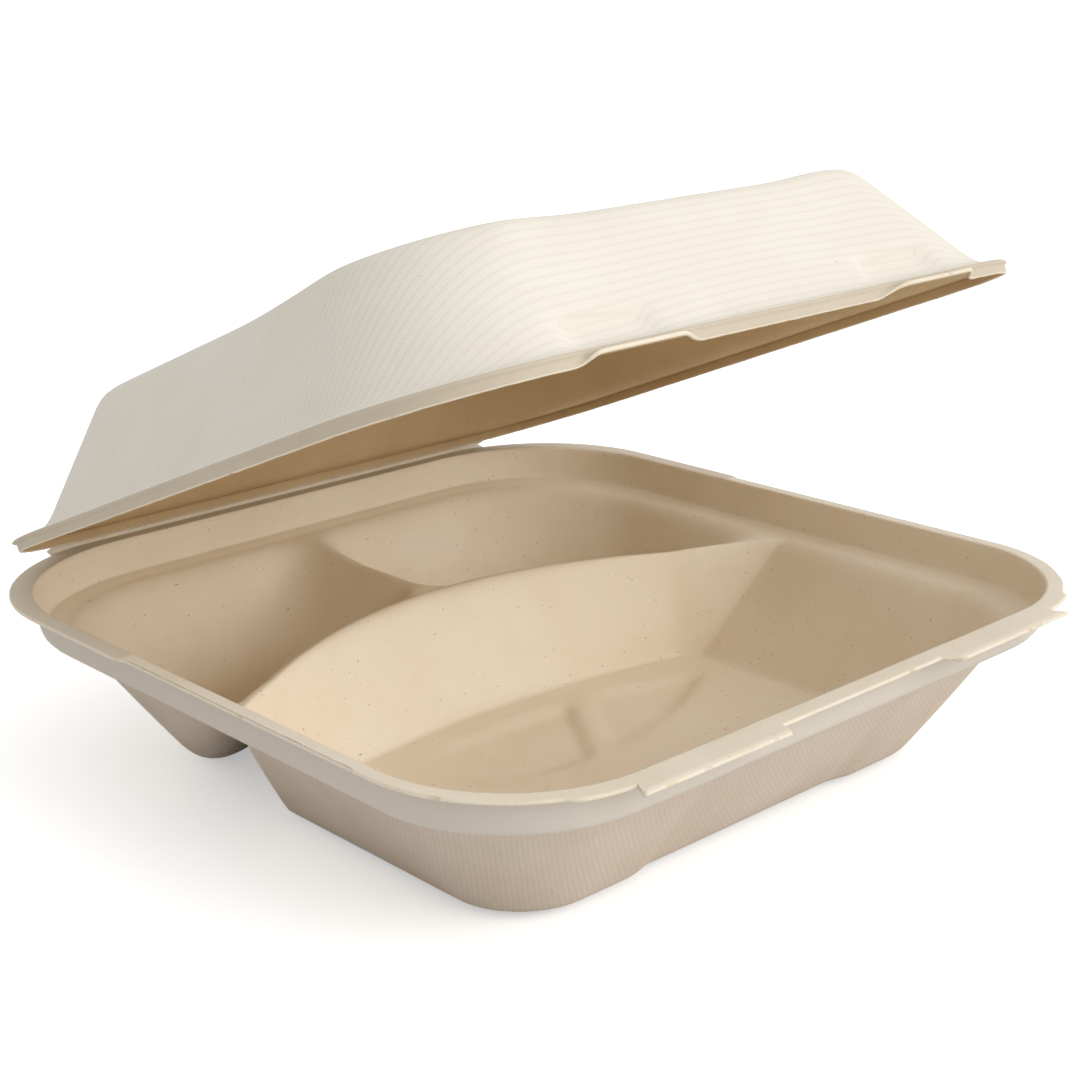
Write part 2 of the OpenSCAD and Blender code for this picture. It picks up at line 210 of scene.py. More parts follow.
# %% Normals and the unrolled map
def point_normals(points, faces):
    a, b, c, d = (points[faces[:, i]] for i in range(4))
    across = np.cross(c - a, d - b)
    normals = np.zeros_like(points)
    for i in range(4):
        np.add.at(normals, faces[:, i], across)
    return normals / np.linalg.norm(normals, axis=1)[:, None]


def unrolled(points, rings, e):
    """The sheet laid flat: outside the floor each ring is put as far out as its slope is long."""
    flat = points[:, :2].copy()
    for r in range(rings - 2, -1, -1):
        here, inner = slice(r * e, (r + 1) * e), slice((r + 1) * e, (r + 2) * e)
        way = points[here, :2] - points[inner, :2]
        size = np.linalg.norm(way, axis=1)[:, None]
        way = np.where(size > 0.02, way / np.maximum(size, 1e-6), flat[here] * 0)
        slope = np.linalg.norm(points[here] - points[inner], axis=1)[:, None]
        flat[here] = flat[inner] + way * slope
    return flat

# %% From a sheet to a shell
FOOD_SIDE, WIRE_SIDE, CUT_EDGE, BORDER = 0, 1, 2, 3
EDGE_BACK, EDGE_BULGE, EDGE_FUZZ = 0.45, 0.35, 0.03


def shell(name, sheet, normals, faces, e, flat, wire_above, border_rings, seed):
    """A mesh object: the sheet, its second face one wall below, and a rounded, fuzzy cut edge."""
    fuzz = np.random.default_rng(seed).normal(0, EDGE_FUZZ, (3, e))
    count = len(sheet)
    out = sheet[:e] - sheet[e:2 * e]
    out /= np.linalg.norm(out, axis=1)[:, None]
    sheet[:e] -= EDGE_BACK * out
    under = sheet - WALL * normals
    rounds = []
    for step, angle in enumerate((45, 90, 135)):
        a = math.radians(angle)
        bulge = (EDGE_BULGE * math.sin(a) + fuzz[step])[:, None]
        rounds.append(sheet[:e] + bulge * out - WALL * (1 - math.cos(a)) / 2 * normals[:e])
    points = np.concatenate([sheet, under] + rounds)
    loops = [np.arange(e)] + [2 * count + i * e + np.arange(e) for i in range(3)]
    loops.append(count + np.arange(e))
    edge = [(a[k], b[k], b[(k + 1) % e], a[(k + 1) % e])
            for a, b in zip(loops, loops[1:]) for k in range(e)]
    quads = [tuple(f) for f in faces] + [tuple(f[::-1] + count) for f in faces] + edge
    mesh = bpy.data.meshes.new(name)
    mesh.from_pydata((points / 1000).tolist(), [], [[int(i) for i in q] for q in quads])
    top, below = (WIRE_SIDE, FOOD_SIDE) if wire_above else (FOOD_SIDE, WIRE_SIDE)
    border = border_rings * e
    sides = [BORDER] * border + [top] * (len(faces) - border) + [below] * len(faces) + [CUT_EDGE] * len(edge)
    mesh.polygons.foreach_set("material_index", sides)
    mesh.polygons.foreach_set("use_smooth", [True] * len(sides))
    layer = mesh.uv_layers.new(name="unrolled")
    place = np.concatenate([flat, flat] + [flat[:e]] * 3)
    corner = np.zeros(len(mesh.loops), int)
    mesh.loops.foreach_get("vertex_index", corner)
    layer.data.foreach_set("uv", place[corner].ravel())
    mesh.update()
    piece = bpy.data.objects.new(name, mesh)
    bpy.context.scene.collection.objects.link(piece)
    print(name, "points:", len(points), "faces:", len(quads))
    return piece

# %% [markdown]
# ## The tray
# From the outside in, the tray has a flat rim, a steep step, a shoulder that catches the light,
# leaning walls and a floor. The big divider is an arc that bulges toward the hinge, and a short
# one parts the two small compartments. Walls and dividers are slopes, each with a share from 0
# at its foot to 1 at its head. Where two slopes meet the larger share wins, with a fillet
# between them. That is easier to keep smooth than separate pieces joined by booleans.

# %% Heights of the tray
def wall_height(inset):
    return (HEIGHT - LIP_DROP * ramp((inset - RIM) / LIP_RUN, 0.3)
            - SHOULDER_FALL * ramp((inset - RIM - LIP_RUN) / SHOULDER, 0.3)
            - (SHOULDER_Z - WALL) * ramp((inset - WALL_START) / DRAFT_RUN))


def across(x):
    return 1 - (x / FLOOR_W) ** 2


def crest_y(x):
    return CREST_MID - CREST_SWEEP + CREST_SWEEP * across(x)


def face_run(x):
    foot = FOOT_MID - FOOT_SWEEP + FOOT_SWEEP * across(x)
    return max(crest_y(x) - foot, 0.3 * SLOPE_RUN)


def rear_run(x):
    return SLOPE_RUN + REAR_WIDEN * (1 - across(x))


def ground(x, y, inset):
    """Height of the food side at a place with the given inset from the rim's edge."""
    if inset <= WALL_START:
        return wall_height(inset)
    past = y - crest_y(x)
    fillet = mix(FRONT_FILLET, REAR_FILLET, step_at(past, 0, 16)) / DRAFT_RUN
    main = 1 - (-past / face_run(x) if past < 0 else past / rear_run(x))
    short = mix(-1, 1 - abs(x) / SLOPE_RUN, step_at(past, 0, 8))
    up = (WALL_END - inset) / DRAFT_RUN
    head = mix(CREST_HEIGHT, SHOULDER_Z, clamp(up))
    return WALL + (head - WALL) * ramp(meet(up, meet(main, short, fillet), fillet))


def floor_inset(x, y):
    r = FLOOR_CORNER if y < 0 else FLOOR_BACK_CORNER
    u, v = abs(x) - FLOOR_W + r, abs(y) - FLOOR_L + r
    return WALL_END + max(0.0, r - math.hypot(max(u, 0), max(v, 0)) - min(max(u, v), 0))

# %% [markdown]
# ## The recess in the large floor
# The large floor isn't flat. Two arcs bound a shallow lens that lies a little lower, and a
# slanting rib parts it in two, which stiffens the floor. Each part gets deeper to the right, so
# the light picks out the rib and the right ends of the parts.

# %% Relief of the large floor
def inside_arc(x, ahead, bulge):
    r = (LENS_HALF ** 2 + bulge ** 2) / (2 * bulge)
    return 1 - step_at(math.hypot(x, ahead - bulge + r), r, 5)


def recess(x, y):
    side = (x - RIB_POINT[0]) * math.sin(RIB_TURN) - (y - RIB_POINT[1]) * math.cos(RIB_TURN)
    start, run, least = LEFT_PART if side < 0 else RIGHT_PART
    deepening = mix(least, 1, ramp((x - start) / run, 0.4))
    lens = inside_arc(x, y - LENS_TIP, LENS_BACK) * inside_arc(x, LENS_TIP - y, LENS_FRONT)
    return deepening * lens * (1 - window(side, 0, RIB_HALF, 4))


def raised(x, y):
    return 0.0 if y > crest_y(x) else RELIEF * (1 - recess(x, y))

# %% Plan of the tray
ROW_STEPS = [40, 20, 20, 14]
ROWS = [(s, i / steps) for s, steps in enumerate(ROW_STEPS) for i in range(steps)] + [(3, 1.0)]
SHORT_SHARE = SLOPE_RUN / reach(FLOOR_W, FLOOR_BACK_CORNER)
RIM_REACH = reach(HALF_W, CORNER)
TRAY_COLUMNS = stations(46, [(TAB_SPACING - TAB_WIDTH) / 2, (TAB_SPACING + TAB_WIDTH) / 2], RIM_REACH)


def row_at(x, row, front, back):
    c = crest_y(x)
    keys = [front, c - face_run(x), c, c + rear_run(x), back]
    return mix(keys[row[0]], keys[row[0] + 1], row[1])


def tray_plan(inset, side, station):
    share = clamp(inset / WALL_END)
    a, b = HALF_W - inset, HALF_L - inset
    r = mix(CORNER, FLOOR_CORNER, share)
    back_r = mix(BACK_CORNER, FLOOR_BACK_CORNER, share)
    if side % 2 == 1:
        s = row_at(HALF_W - max(inset, WALL_START), station, -reach(b, r), reach(b, back_r))
        y, x = side_point(s, b, a, r if s < 0 else back_r)
        return (x if side == 1 else -x), y
    if side == 2:
        near = min(1.0, abs(station) / SHORT_SHARE)
        far = max(0.0, abs(station) - SHORT_SHARE) / (1 - SHORT_SHARE)
        s = mix(near * SLOPE_RUN, reach(a, back_r), far)
        return side_point(math.copysign(s, station), a, b, back_r)
    x, y = side_point(station * reach(a, r), a, b, r)
    bow = FRONT_BOW * (1 - share) * max(0.0, 1 - (x / a) ** 2)
    return x, -y - bow + PANEL_DEPTH * share * window(x, 0, PANEL_WIDTH / 2, 10)

# %% [markdown]
# ## The trimmed edge
# A knife trims the rim after pressing, and it doesn't follow the pressed line quite evenly: round
# the front corners it takes about a millimetre more, and the change shows as a small step.

# %% Build the tray's shell
TRIM, TRIM_BACK, TRIM_SIDE = 1.2, 26.0, 90.0
TRAY_INSETS = ([0, 0.8, 1.4, 2.4, 3.6, 4.5, RIM]
               + [RIM + LIP_RUN * t for t in (0.12, 0.25, 0.38, 0.5, 0.62, 0.75, 0.88, 1.0, 1.15, 1.35)]
               + [RIM + LIP_RUN + SHOULDER * t for t in (0.35, 0.55, 0.75, 0.9)]
               + [WALL_START + DRAFT_RUN * i / 26 for i in range(27)])
RIM_RINGS = 6


def moved_edge(side, station, x, y):
    """How far the cut edge lies outside the pressed line: tabs stand out, trimmed corners lie back."""
    if side == 0 and abs(abs(station) * RIM_REACH - TAB_SPACING / 2) < TAB_WIDTH / 2:
        return TAB_OUT
    trimmed = step_at(abs(x), TRIM_SIDE, 1) if side == 0 else step_at(-y, -TRIM_BACK, 1) if side % 2 else 0
    return -TRIM * trimmed


def make_tray():
    n, m, rings = len(TRAY_COLUMNS) - 1, len(ROWS) - 1, len(TRAY_INSETS)
    e = 2 * (n + m)
    plan = []
    for r, inset in enumerate(TRAY_INSETS):
        for side, i in ring_places(n, m):
            station = ROWS[i] if side % 2 else TRAY_COLUMNS[i]
            x, y = tray_plan(inset, side, station)
            if r < 3:
                out = moved_edge(side, station, x, y) * (1 - r / 3)
                x, y = tray_plan(inset - out, side, station)
            plan.append((x, y, inset))
    last = plan[(rings - 1) * e:]
    for j in range(1, m):
        for i in range(1, n):
            x = coons_x(i, j, last, n, m)
            y = row_at(min(abs(x), FLOOR_W), ROWS[j], last[i][1], last[2 * n + m - i][1])
            plan.append((x, y, floor_inset(x, y)))
    body = np.array([(x, y, ground(x, y, inset)) for x, y, inset in plan])
    faces = sheet_faces(rings, n, m)
    normals = point_normals(body, faces)
    normals[:2 * e] = (0, 0, 1)
    sheet = body.copy()
    sheet[:, 2] = [max(z, WALL + raised(x, y)) for x, y, z in body]
    return shell("tray_shell", sheet, normals, faces, e, unrolled(body, rings, e), False, RIM_RINGS, 7)


tray = make_tray()
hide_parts("tray")
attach(tray, "tray")

# %% [markdown]
# ## The lid
# The lid is a lower tray turned over: a short skirt, a narrow step, leaning walls and a top
# that rises a little toward the front corners. The step's edge stands half a millimetre over the
# skirt, which draws a thin shadow line. In the skirt are two notches for the tray's tabs: there
# the skirt sweeps up in a soft curve into a lip that stands out.
# The lid is drawn closed and then turned about the crease.

# %% Section and top of the lid
LID_HALF, LID_MID = LID_WIDTH / 2, (LID_LENGTH - CREASE_GAP) / 2
LID_CENTRE = (LID_LENGTH + CREASE_GAP) / 2
LID_REACH = reach(LID_HALF, LID_CORNER)
LID_RINGS = 24
SKIRT_RINGS = [(0.5, CREASE_GAP), (0.5, 1.0), (0.5, 1.7), (0.48, 2.4), (0.4, 2.85)]
LEDGE_RINGS = [(0.1, 3.05), (0.0, 3.35), (0.08, 3.7), (0.4, 4.0), (1.0, 4.25), (1.9, 4.37), (STEP_RUN, SKIRT)]
LID_SECTION = (SKIRT_RINGS + LEDGE_RINGS
               + [(STEP_RUN + LID_DRAFT * i / LID_RINGS, mix(SKIRT, LID_HEIGHT, ramp(i / LID_RINGS, 0.2)))
                  for i in range(1, LID_RINGS + 1)])
LID_BORDER_RINGS = len(SKIRT_RINGS) + 3


def pad(x, y):
    ahead = -y - LID_CENTRE
    corners = step_at(abs(x), 0.4 * LID_HALF, 30) * step_at(ahead, 0.45 * LID_MID, 30)
    return FRONT_RISE * step_at(ahead, 0.3 * LID_MID, 45) + PAD_RISE * corners

# %% Plan of the lid
def lid_plan(inset, rise, side, station):
    a, b = LID_HALF - inset, LID_MID - inset
    up = max(0.0, inset)
    back = side == 2 or (side % 2 == 1 and station > 0)
    back_r = mix(LID_BACK_CORNER, WALL_BACK_CORNER, min(1.0, up / STEP_RUN))
    r = back_r - 0.4 * max(0.0, up - STEP_RUN) if back else LID_CORNER - 0.3 * up
    if side % 2:
        y, x = side_point(station * reach(b, r), b, a, r)
        return (x if side == 1 else -x), y - LID_CENTRE
    x, y = side_point(station * reach(a, r), a, b, r)
    if side == 2:
        return x, y - LID_CENTRE
    over_notch = window(abs(x), NOTCH_SPACING / 2, 0.42 * NOTCH_WIDTH, 9)
    push = DIMPLE * over_notch * window(rise, SKIRT + 3.5, 3.5, 3)
    return x, -y + push - LID_CENTRE


def notch_at(side, station):
    """One inside a notch of the skirt, zero away from it, with a soft sweep at each end."""
    if side != 0:
        return 0.0
    return window(abs(station) * LID_REACH, NOTCH_SPACING / 2, NOTCH_WIDTH / 2, 2 * NOTCH_BEND)

# %% Build the lid's shell
def turned(points, angle):
    """Points of the lid's own frame, opened by an angle about the crease and put on the tray."""
    c, s = math.cos(angle), math.sin(angle)
    x, y, z = points.T
    return np.column_stack([x, y * c + z * s + HINGE_Y, z * c - y * s + HINGE_Z])


def make_lid():
    columns = stations(60, [], LID_REACH)
    n, m, rings = len(columns) - 1, 64, len(LID_SECTION)
    e = 2 * (n + m)
    points = []
    for r, (inset, rise) in enumerate(LID_SECTION):
        lip_share = r / len(SKIRT_RINGS)
        for side, i in ring_places(n, m):
            station = -1 + 2 * i / m if side % 2 else columns[i]
            lip = notch_at(side, station) if lip_share < 1 else 0.0
            here = mix(inset, mix(-LIP_OUT, 0.0, lip_share), lip)
            height = mix(rise, SKIRT - SKIRT_BEND + 0.1 * lip_share, lip)
            x, y = lid_plan(here, height, side, station)
            points.append((x, y, height + pad(x, y) * max(0.0, height - SKIRT) / (LID_HEIGHT - SKIRT)))
    last = points[(rings - 1) * e:]
    for j in range(1, m):
        for i in range(1, n):
            x = coons_x(i, j, last, n, m)
            y = mix(last[i][1], last[2 * n + m - i][1], j / m)
            points.append((x, y, LID_HEIGHT + pad(x, y)))
    sheet = np.array(points)
    faces = sheet_faces(rings, n, m)
    normals = point_normals(sheet, faces)
    flat = unrolled(sheet, rings, e)
    placed = turned(sheet, OPEN_ANGLE)
    c, s = math.cos(OPEN_ANGLE), math.sin(OPEN_ANGLE)
    tilted = np.column_stack([normals[:, 0], normals[:, 1] * c + normals[:, 2] * s,
                              normals[:, 2] * c - normals[:, 1] * s])
    return shell("lid_shell", placed, tilted, faces, e, flat, True, LID_BORDER_RINGS, 11)


lid = make_lid()
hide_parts("lid")
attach(lid, "lid")

# %% [markdown]
# ## The folded strip
# Tray and lid are one piece of fibre, and the strip between them is pressed thin so that it
# folds. It runs past the straight part of the rim, so that its ends show as small webs between
# the two rounded corners. It is built for this one opening: one edge lies on the tray and the other
# on the lid, with a smooth turn between.

# %% Build the strip
STRIP_HALF, STRIP_THICK = 83.0, 0.45


def corner_fall(x, straight, r):
    """How far a rounded corner has curved away from the straight back edge at x."""
    over = max(0.0, abs(x) - straight)
    return r - math.sqrt(r * r - over * over)


def make_strip():
    columns = 80
    points = []
    for i in range(columns + 1):
        x = -STRIP_HALF + 2 * STRIP_HALF * i / columns
        tray_edge = HINGE_Y - corner_fall(x, HALF_W - BACK_CORNER, BACK_CORNER)
        lid_edge = -CREASE_GAP - corner_fall(x, LID_HALF - LID_BACK_CORNER, LID_BACK_CORNER)
        inside, outside = turned(np.array([(x, lid_edge - 0.9, 0.75), (x, lid_edge + 0.1, 0.75)]), OPEN_ANGLE)
        points += [(x, tray_edge - 0.9, HEIGHT - 0.35), (x, tray_edge - 0.1, HEIGHT - 0.7),
                   (x, HINGE_Y + 0.15, HINGE_Z - 0.15), (x, HINGE_Y + 0.15, HINGE_Z + 0.2),
                   tuple(outside), tuple(inside),
                   (x, HINGE_Y + 0.15 - STRIP_THICK, HINGE_Z)]
    k = 7
    faces = [(i * k + j, (i + 1) * k + j, (i + 1) * k + (j + 1) % k, i * k + (j + 1) % k)
             for i in range(columns) for j in range(k)]
    faces += [tuple(range(k)), tuple(reversed(range(columns * k, (columns + 1) * k)))]
    mesh = bpy.data.meshes.new("folded_strip")
    mesh.from_pydata((np.array(points) / 1000).tolist(), [], faces)
    mesh.polygons.foreach_set("use_smooth", [True] * len(faces))
    mesh.update()
    piece = bpy.data.objects.new("folded_strip", mesh)
    bpy.context.scene.collection.objects.link(piece)
    return piece


strip = make_strip()
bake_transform(strip)
print("strip length in mm:", round(1000 * strip.dimensions.x, 1))

# %% [markdown]
# ## Pressed fibre
# The material is unbleached sugar cane fibre: a paper, so it is not metallic, its IOR is near
# 1.5 and its roughness high. The hot tool makes the food side a little smoother than the wire
# side. What the eye reads as fibre are three things: soft clouds of colour, small dark flecks
# of bark, and a fine grain. On the wire side the cloth's print comes on top.

# %% Helpers for node materials
def srgb(code):
    """A hex colour as the linear values that a shader works with."""
    parts = [int(code[i:i + 2], 16) / 255 for i in (1, 3, 5)]
    return tuple(c / 12.92 if c <= 0.04045 else ((c + 0.055) / 1.055) ** 2.4 for c in parts) + (1.0,)


def add(tree, kind, links=None, **settings):
    """Adds a node, sets its properties, and links or sets its inputs."""
    node = tree.nodes.new(kind)
    for key, value in settings.items():
        setattr(node, key, value)
    for socket, value in (links or {}).items():
        if isinstance(value, bpy.types.NodeSocket):
            tree.links.new(value, node.inputs[socket])
        else:
            node.inputs[socket].default_value = value
    return node


def new_material(name):
    material = bpy.data.materials.new(name)
    material.use_nodes = True
    tree = material.node_tree
    tree.nodes.clear()
    return material, tree

# %% [markdown]
# ## Clouds, flecks and grain
# Clouds are 2 to 4 cm wide, where the pulp settled thicker or thinner. Flecks are bits of bark:
# round specks of about half a millimetre, one or two in each square centimetre, and fewer thin
# splinters of 1 to 2 mm. Single fibres are 20 micrometres thick, far too fine to show here, so
# the grain is drawn at about half a millimetre, like the small knots that fibres form.

# %% Colour and grain that all faces share
CLOUD_MM, GRAIN_MM, FLECK_CELL_MM, SPLINTER_CELL_MM = 26.0, 0.55, 2.8, 5.5


def specks(tree, place, cell_mm, radius, kept, stretch):
    """Small marks, at most one in each cell, in the kept share of the cells."""
    pulled = add(tree, "ShaderNodeMapping", {"Vector": place, "Scale": stretch, "Rotation": (0.5, 0.4, 0.7)})
    cells = add(tree, "ShaderNodeTexVoronoi", {"Vector": pulled.outputs[0], "Scale": 1000 / cell_mm})
    spot = add(tree, "ShaderNodeMapRange", {"Value": cells.outputs["Distance"], "From Min": radius,
                                            "From Max": radius * 0.45})
    pick = add(tree, "ShaderNodeSeparateColor", {"Color": cells.outputs["Color"]})
    some = add(tree, "ShaderNodeMath", {0: pick.outputs[0], 1: 1 - kept}, operation="GREATER_THAN")
    strong = add(tree, "ShaderNodeMapRange", {"Value": pick.outputs[1], "To Min": 0.3, "To Max": 0.9})
    shown = add(tree, "ShaderNodeMath", {0: spot.outputs[0], 1: some.outputs[0]}, operation="MULTIPLY")
    shown = add(tree, "ShaderNodeMath", {0: shown.outputs[0], 1: strong.outputs[0]}, operation="MULTIPLY")
    return shown.outputs[0]


def fibre_colour(tree, pale, deep, fleck, fleck_share=0.5):
    """Clouds between two colours with sparse dark flecks. Returns the colour and the grain."""
    place = add(tree, "ShaderNodeTexCoord").outputs["Object"]
    clouds = add(tree, "ShaderNodeTexNoise", {"Vector": place, "Scale": 1000 / CLOUD_MM, "Detail": 5.0,
                                              "Roughness": 0.6}).outputs["Fac"]
    grain = add(tree, "ShaderNodeTexNoise", {"Vector": place, "Scale": 1000 / GRAIN_MM, "Detail": 3.0,
                                             "Roughness": 0.7}).outputs["Fac"]
    both = add(tree, "ShaderNodeMath", {0: grain, 1: 0.5, 2: clouds}, operation="MULTIPLY_ADD").outputs[0]
    share = add(tree, "ShaderNodeMapRange", {"Value": both, "From Min": 0.48, "From Max": 1.02}).outputs[0]
    colour = add(tree, "ShaderNodeMix", {"Factor": share, 6: srgb(deep), 7: srgb(pale)}, data_type="RGBA")
    dots = specks(tree, place, FLECK_CELL_MM, 0.11, fleck_share, (1.0, 1.4, 1.2))
    splinters = specks(tree, place, SPLINTER_CELL_MM, 0.09, 0.35 * fleck_share, (0.55, 2.6, 1.6))
    for marks in (dots, splinters):
        colour = add(tree, "ShaderNodeMix", {"Factor": marks, 6: colour.outputs[2], 7: srgb(fleck)},
                     data_type="RGBA")
    return colour.outputs[2], grain


def finish(tree, colour, height, distance_mm, roughness):
    """A paper surface: one bump and one rough, non-metallic shader."""
    bump = add(tree, "ShaderNodeBump", {"Height": height, "Strength": 1.0, "Distance": distance_mm / 1000})
    shader = add(tree, "ShaderNodeBsdfPrincipled", {"Base Color": colour, "Normal": bump.outputs[0],
                                                    "Roughness": roughness, "IOR": 1.5})
    add(tree, "ShaderNodeOutputMaterial", {"Surface": shader.outputs[0]})

# %% Food side: smooth from the hot tool
def pressed_food_side(name, pale, deep):
    material, tree = new_material(name)
    colour, grain = fibre_colour(tree, pale, deep, "#6E5134")
    finish(tree, colour, grain, 0.035, 0.65)
    return material

# %% [markdown]
# ## The print of the wire cloth
# On the tray the cloth leaves a field of fine dots, 1.3 mm apart in staggered rows. On the lid it
# was coarser one way and leaves dotted lines 2.5 mm apart that run along the front edge. Both are
# drawn on the unrolled map of the sheet, so the rows bend round the corners as the cloth did.
# A product of two waves of equal length gives dots in staggered rows, and the nearest two are
# a wave's length over the root of two apart.

# %% Wire side of the tray and of the lid
DOT_MM, LINE_MM, LINE_DOT_MM = 1.3, 2.5, 1.1
BAND_LOW, BAND_HIGH = 0.036, 0.039
PRINT_BELOW, PRINT_IN_BAND = 0.9, 0.2


def wave(tree, value, pitch_mm):
    angle = add(tree, "ShaderNodeMath", {0: value, 1: 2 * math.pi / pitch_mm}, operation="MULTIPLY")
    return add(tree, "ShaderNodeMath", {0: angle.outputs[0]}, operation="SINE").outputs[0]


def wire_print(tree, along_mm, across_mm):
    """Dots from waves of the given lengths, and the second wave alone, from -1 to 1."""
    flat = add(tree, "ShaderNodeUVMap", uv_map="unrolled").outputs[0]
    axes = add(tree, "ShaderNodeSeparateXYZ", {"Vector": flat})
    u, v = wave(tree, axes.outputs[0], along_mm), wave(tree, axes.outputs[1], across_mm)
    return add(tree, "ShaderNodeMath", {0: u, 1: v}, operation="MULTIPLY").outputs[0], v


def tray_wire_side(name, pale, deep, grey, print_colour):
    """Taupe below the shoulder and greyer above it, with a field of fine dots."""
    material, tree = new_material(name)
    colour, grain = fibre_colour(tree, pale, deep, "#85705A", 0.3)
    place = add(tree, "ShaderNodeTexCoord").outputs["Object"]
    height = add(tree, "ShaderNodeSeparateXYZ", {"Vector": place}).outputs[2]
    band = add(tree, "ShaderNodeMapRange", {"Value": height, "From Min": BAND_LOW, "From Max": BAND_HIGH})
    banded = add(tree, "ShaderNodeMix", {"Factor": band.outputs[0], 6: colour, 7: srgb(grey)},
                 data_type="RGBA")
    dots = wire_print(tree, math.sqrt(2) * DOT_MM, math.sqrt(2) * DOT_MM)[0]
    clear = add(tree, "ShaderNodeMapRange", {"Value": band.outputs[0], "To Min": PRINT_BELOW,
                                             "To Max": PRINT_IN_BAND})
    dots = add(tree, "ShaderNodeMath", {0: dots, 1: clear.outputs[0]}, operation="MULTIPLY").outputs[0]
    share = add(tree, "ShaderNodeMapRange", {"Value": dots, "From Max": PRINT_BELOW, "To Max": 0.28})
    printed = add(tree, "ShaderNodeMix", {"Factor": share.outputs[0], 6: banded.outputs[2],
                                          7: srgb(print_colour)}, data_type="RGBA")
    relief = add(tree, "ShaderNodeMath", {0: dots, 1: -0.35, 2: grain}, operation="MULTIPLY_ADD")
    finish(tree, printed.outputs[2], relief.outputs[0], 0.05, 0.85)
    return material


def lid_wire_side(name, pale, deep, print_colour):
    """Pale cream with faint dotted lines along the front edge."""
    material, tree = new_material(name)
    colour, grain = fibre_colour(tree, pale, deep, "#9C8B74", 0.15)
    dots, lines = wire_print(tree, LINE_DOT_MM, LINE_MM)
    both = add(tree, "ShaderNodeMath", {0: dots, 1: 0.6, 2: lines}, operation="MULTIPLY_ADD").outputs[0]
    share = add(tree, "ShaderNodeMapRange", {"Value": both, "From Min": 0.2, "From Max": 1.4, "To Max": 0.3})
    printed = add(tree, "ShaderNodeMix", {"Factor": share.outputs[0], 6: colour, 7: srgb(print_colour)},
                  data_type="RGBA")
    relief = add(tree, "ShaderNodeMath", {0: both, 1: -0.12, 2: grain}, operation="MULTIPLY_ADD")
    finish(tree, printed.outputs[2], relief.outputs[0], 0.03, 0.8)
    return material

# %% [markdown]
# ## Borders and cut edges
# The rim and the lid's skirt are pressed flat by steel without cloth, so they are plain, whitish
# and smooth. The trimmed edge shows torn fibre: it is pale, rough, and here and there scorched
# brown by the hot knife.

# %% Borders and edges
SCORCH_MM = 5.0
# Between these two depths the rim turns to its painted shade colour.
SHADE_FROM, SHADE_TO = (TRIM_BACK - 0.5) / 1000, (TRIM_BACK + 0.5) / 1000


def pressed_border(name, pale, deep, painted_shade_colour=None):
    """A plain whitish border; from the trimmed corners back, the rim may get a greyer colour, which is
    painted shade.
    """
    material, tree = new_material(name)
    colour, grain = fibre_colour(tree, pale, deep, "#9A815F", 0.15)
    if painted_shade_colour:
        place = add(tree, "ShaderNodeTexCoord").outputs["Object"]
        back = add(tree, "ShaderNodeSeparateXYZ", {"Vector": place}).outputs[1]
        share = add(tree, "ShaderNodeMapRange", {"Value": back, "From Min": SHADE_FROM, "From Max": SHADE_TO})
        colour = add(tree, "ShaderNodeMix", {"Factor": share.outputs[0], 6: colour, 7: srgb(painted_shade_colour)},
                     data_type="RGBA").outputs[2]
    finish(tree, colour, grain, 0.04, 0.7)
    return material


def cut_fibre_edge(name, pale, deep, scorched):
    """Torn, rough fibre with brown clouds where the knife was hot."""
    material, tree = new_material(name)
    colour, grain = fibre_colour(tree, pale, deep, "#8A6B47")
    place = add(tree, "ShaderNodeTexCoord").outputs["Object"]
    burns = add(tree, "ShaderNodeTexNoise", {"Vector": place, "Scale": 1000 / SCORCH_MM, "Detail": 3.0})
    share = add(tree, "ShaderNodeMapRange", {"Value": burns.outputs["Fac"], "From Min": 0.6,
                                             "From Max": 0.75, "To Max": 0.5})
    browned = add(tree, "ShaderNodeMix", {"Factor": share.outputs[0], 6: colour, 7: srgb(scorched)},
                  data_type="RGBA")
    finish(tree, browned.outputs[2], grain, 0.15, 0.9)
    return material

# %% Give the faces their finishes
tray_food = pressed_food_side("pressed_fibre_food_side", "#F4E9D6", "#EDDEC5")
tray_wire = tray_wire_side("pressed_fibre_wire_side", "#CFC1B0", "#C4B4A1", "#CBC2B5", "#A39280")
edge = cut_fibre_edge("cut_fibre_edge", "#E6DCC9", "#DACDB5", "#A88A64")
# The rim's last colour is painted shade on the back part of the rim.
rim_border = pressed_border("pressed_rim_border", "#EAE1D0", "#E1D6C2", "#D3C9B6")
# The lid's inside is the same food side as the tray's, given a darker tan as painted shade.
lid_inside_painted_shade = pressed_food_side("pressed_fibre_lid_inside_painted_shade", "#CDB48C", "#C0A47A")
lid_wire = lid_wire_side("pressed_fibre_lid_outside", "#E3DDD1", "#DDD6C9", "#C6BCAB")
skirt_border = pressed_border("pressed_skirt_border", "#C6B9A5", "#BEB09A")
for piece, finishes in ((tray, (tray_food, tray_wire, edge, rim_border)),
                        (lid, (lid_inside_painted_shade, lid_wire, edge, skirt_border)), (strip, (tray_food,))):
    for material in finishes:
        piece.data.materials.append(material)
    print(piece.name, "finishes:", [m.name for m in finishes])

# %% [markdown]
# ## Floor, light and camera
# The box stands on a white floor that goes over into a white background. The light in such a
# product picture comes from all round, most of it from above. A large lamp in front and a
# little to the right stands low, so that its light gets in under the half open lid: it
# brightens the divider's front, and leaves the right wall and the lid's inside in shade. A sun
# lamp with a very wide angle gives that light, with shadows that stay soft.

# %% Floor and background
FLOOR_LIFT = 0.4
SKY_LEVEL, SKY_TOP = 0.55, 0.35
WHITE = (1, 1, 1, 1)


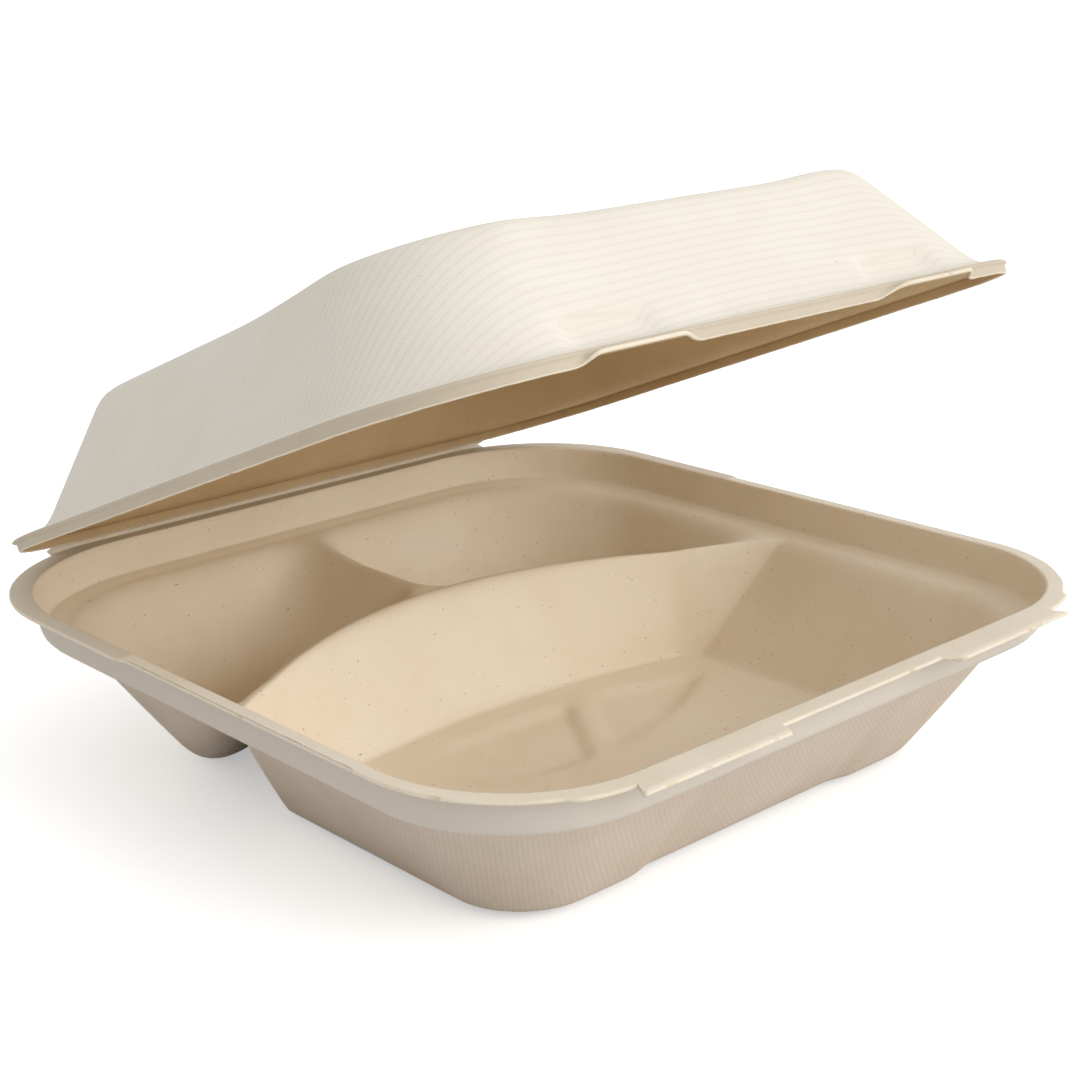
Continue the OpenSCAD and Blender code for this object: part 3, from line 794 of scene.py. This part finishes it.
def make_floor():
    """White paper. The camera sees it lifted to plain white, but for the box's soft shadow."""
    mesh = bpy.data.meshes.new("floor")
    mesh.from_pydata([(-6, -6, 0), (6, -6, 0), (6, 6, 0), (-6, 6, 0)], [], [(0, 1, 2, 3)])
    piece = bpy.data.objects.new("floor", mesh)
    bpy.context.scene.collection.objects.link(piece)
    material, tree = new_material("white_paper_floor")
    paper = add(tree, "ShaderNodeBsdfDiffuse", {"Color": srgb("#F4F4F4")})
    seen = add(tree, "ShaderNodeLightPath").outputs["Is Camera Ray"]
    lift = add(tree, "ShaderNodeMath", {0: seen, 1: FLOOR_LIFT}, operation="MULTIPLY").outputs[0]
    glow = add(tree, "ShaderNodeEmission", {"Color": WHITE, "Strength": lift})
    both = add(tree, "ShaderNodeAddShader", {0: paper.outputs[0], 1: glow.outputs[0]})
    add(tree, "ShaderNodeOutputMaterial", {"Surface": both.outputs[0]})
    mesh.materials.append(material)
    return piece


make_floor()
world = bpy.data.worlds.new("studio")
bpy.context.scene.world = world
world.use_nodes = True
tree = world.node_tree
tree.nodes.clear()
direction = add(tree, "ShaderNodeTexCoord").outputs["Generated"]
upward = add(tree, "ShaderNodeSeparateXYZ", {"Vector": direction}).outputs[2]
strength = add(tree, "ShaderNodeMapRange", {"Value": upward, "To Min": SKY_LEVEL,
                                            "To Max": SKY_LEVEL + SKY_TOP})
soft_sky = add(tree, "ShaderNodeBackground", {"Color": WHITE, "Strength": strength.outputs[0]})
plain_white = add(tree, "ShaderNodeBackground", {"Color": WHITE, "Strength": 1.0})
seen = add(tree, "ShaderNodeLightPath").outputs["Is Camera Ray"]
sky = add(tree, "ShaderNodeMixShader", {0: seen, 1: soft_sky.outputs[0], 2: plain_white.outputs[0]})
add(tree, "ShaderNodeOutputWorld", {"Surface": sky.outputs[0]})

# %% Lamp
def facing(place, target):
    """A frame at a place whose back looks away from the target, as lamps and cameras need."""
    back = np.array(place, float) - np.array(target, float)
    back /= np.linalg.norm(back)
    right = np.cross((0, 0, 1), back)
    right /= np.linalg.norm(right)
    up = np.cross(back, right)
    return Matrix([[right[i], up[i], back[i], place[i]] for i in range(3)] + [[0, 0, 0, 1]])


sun_data = bpy.data.lights.new("wide_soft_light", "SUN")
sun_data.energy = 1.8
sun_data.angle = math.radians(50)
sun = bpy.data.objects.new("wide_soft_light", sun_data)
bpy.context.scene.collection.objects.link(sun)
sun.matrix_world = facing((0.45, -0.9, 0.5), (0, 0, 0))

# %% Camera
POSITION = (-0.3415, -0.3850, 0.2234)
HEADING, PITCH, ROLL = math.radians(42.0), math.radians(17.63), math.radians(-1.38)
ahead = np.array([math.sin(HEADING) * math.cos(PITCH), math.cos(HEADING) * math.cos(PITCH), -math.sin(PITCH)])
level = np.array([math.cos(HEADING), -math.sin(HEADING), 0.0])
upward = np.cross(level, ahead)
right = math.cos(ROLL) * level + math.sin(ROLL) * upward
up = -math.sin(ROLL) * level + math.cos(ROLL) * upward
camera_data = bpy.data.cameras.new("photo_camera")
camera_data.sensor_width = 36.0
camera_data.lens = 1962.3 / 1080 * 36.0
camera = bpy.data.objects.new("photo_camera", camera_data)
bpy.context.scene.collection.objects.link(camera)
camera.matrix_world = Matrix([[right[i], up[i], -ahead[i], POSITION[i]] for i in range(3)] + [[0, 0, 0, 1]])
bpy.context.scene.camera = camera
bpy.context.scene.view_settings.view_transform = "Standard"
print("lens in mm:", round(camera_data.lens, 1))
